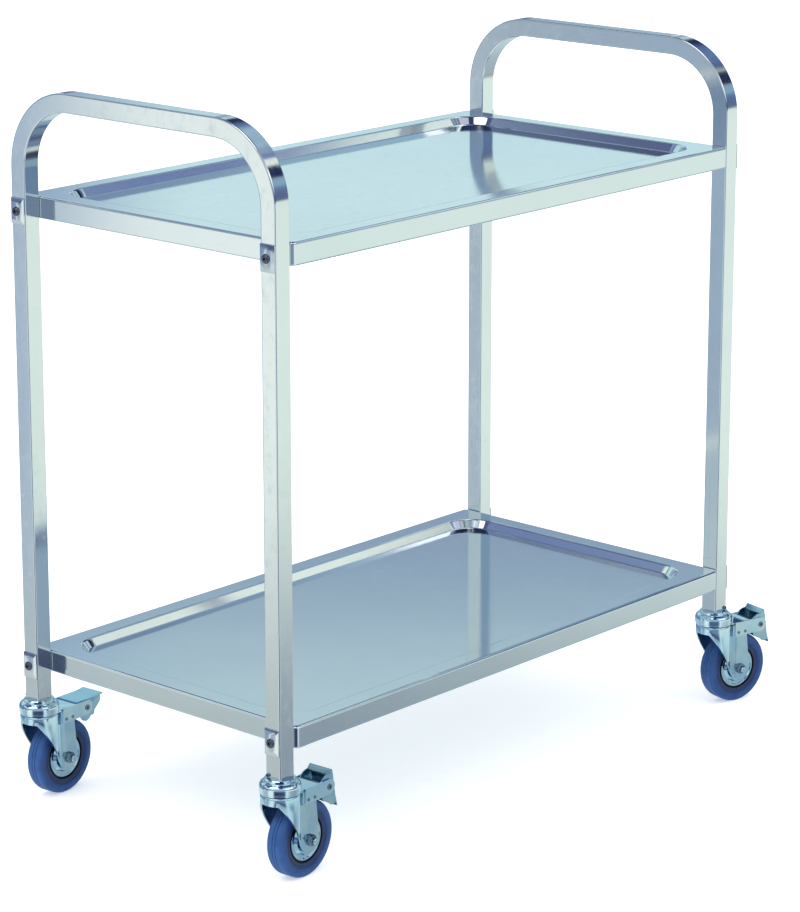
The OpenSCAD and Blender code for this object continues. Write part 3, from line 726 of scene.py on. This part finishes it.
# ---- Wheels and axles --------------------------------------------------------
# Two pressed discs with a ring step run on a bearing sleeve. An 8 mm bolt goes through
# them from the far cheek, and a lock nut on a washer holds it on the near one.

for corner in corners:
    clothe(f"wheel_discs_{corner}", sheet_zinc)
    clothe(f"bearing_sleeve_{corner}", head_zinc)

cheek_face = 0.018
across_flats = 0.013
hex_radius = across_flats / 2 / math.cos(math.radians(30))
hex_height = 0.0053
washer_radius = 0.0075
washer_height = 0.0012
washer_edge = 0.0003
bolt_radius = 0.004
bolt_end = 0.0275
thread_pitch = 0.00125
thread_depth = 0.0004
centre_mark = 0.0002
nut_bore = 0.0042
lock_ring_radius = 0.0058
hardware_crease_angle = math.radians(28)


def spun_ring(bm, outline, steps=48):
    """A closed outline of radius and height, spun once round Z."""
    ring = [bm.verts.new((r, 0, z)) for r, z in outline]
    edges = [bm.edges.new(pair) for pair in zip(ring, ring[1:] + ring[:1])]
    bmesh.ops.spin(
        bm, geom=ring + edges, cent=(0, 0, 0), axis=(0, 0, 1), angle=2 * math.pi,
        steps=steps, use_merge=True,
    )


def hexagon_block(bm, foot, top):
    """A six-sided block along Z whose far face is chamfered."""
    chamfer = 0.0007
    way = 1 if top > foot else -1
    made = bmesh.ops.create_circle(
        bm, cap_ends=True, segments=6, radius=hex_radius, matrix=Matrix.Translation((0, 0, foot))
    )
    base = made["verts"][0].link_faces[0]
    risen = bmesh.ops.extrude_face_region(bm, geom=[base])["geom"]
    verts = [g for g in risen if isinstance(g, bmesh.types.BMVert)]
    bmesh.ops.translate(bm, verts=verts, vec=(0, 0, top - foot - way * chamfer))
    cap = [g for g in risen if isinstance(g, bmesh.types.BMFace)]
    bmesh.ops.inset_region(bm, faces=cap, thickness=1.4 * chamfer)
    bmesh.ops.translate(bm, verts=cap[0].verts, vec=(0, 0, way * chamfer))


def finish_hardware(bm, name, corner, node, material):
    """Puts a bolt or nut on its axle, in place of its plain node."""
    bmesh.ops.recalc_face_normals(bm, faces=bm.faces)
    for face in bm.faces:
        face.smooth = True
    bm.transform(onto_axle(corner))
    mesh = bpy.data.meshes.new(name)
    bm.to_mesh(mesh)
    bm.free()
    mesh.set_sharp_from_angle(angle=hardware_crease_angle)
    mesh.materials.append(material)
    piece = bpy.data.objects.new(name, mesh)
    bpy.context.scene.collection.objects.link(piece)
    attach(piece, f"swivel_{corner}")
    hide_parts(node)


nut_zinc = bright_zinc("nut_zinc", (0.20, 0.26, 0.30), 0.12)
thread_start = cheek_face + washer_height + hex_height
crests = [
    point
    for i in range(2)
    for point in (
        (bolt_radius - thread_depth, thread_start + (i + 0.5) * thread_pitch),
        (bolt_radius, thread_start + (i + 1) * thread_pitch),
    )
]
inside_head = cheek_face + 0.0002
bolt_outline = [
    (centre_mark, inside_head), (bolt_radius, inside_head), *[(r, -z) for r, z in crests],
    (bolt_radius - 0.0006, -bolt_end), (centre_mark, -bolt_end),
]
nut_foot = cheek_face + washer_height
nut_shoulder = nut_foot + 0.0040
nut_top = nut_foot + hex_height
washer_outline = [
    (nut_bore, -cheek_face), (washer_radius - 0.0002, -cheek_face),
    (washer_radius, -cheek_face - washer_edge), (washer_radius, -nut_foot + washer_edge),
    (washer_radius - washer_edge, -nut_foot), (nut_bore, -nut_foot),
]
lock_ring_outline = [
    (nut_bore, -nut_shoulder + 0.0004), (lock_ring_radius, -nut_shoulder + 0.0004),
    (lock_ring_radius, -nut_top + 0.0007), (lock_ring_radius - 0.0002, -nut_top + 0.0002),
    (lock_ring_radius - 0.0007, -nut_top), (nut_bore + 0.0003, -nut_top + 0.0001),
    (nut_bore, -nut_top + 0.0005),
]
for corner in corners:
    bolt = bmesh.new()
    spun_ring(bolt, bolt_outline, 32)
    hexagon_block(bolt, cheek_face, cheek_face + hex_height)
    finish_hardware(bolt, f"axle_bolt_turned_{corner}", corner, f"axle_bolt_{corner}", head_zinc)
    nut = bmesh.new()
    spun_ring(nut, washer_outline)
    hexagon_block(nut, -nut_foot, -nut_shoulder)
    spun_ring(nut, lock_ring_outline)
    finish_hardware(nut, f"axle_nut_turned_{corner}", corner, f"axle_nut_{corner}", nut_zinc)
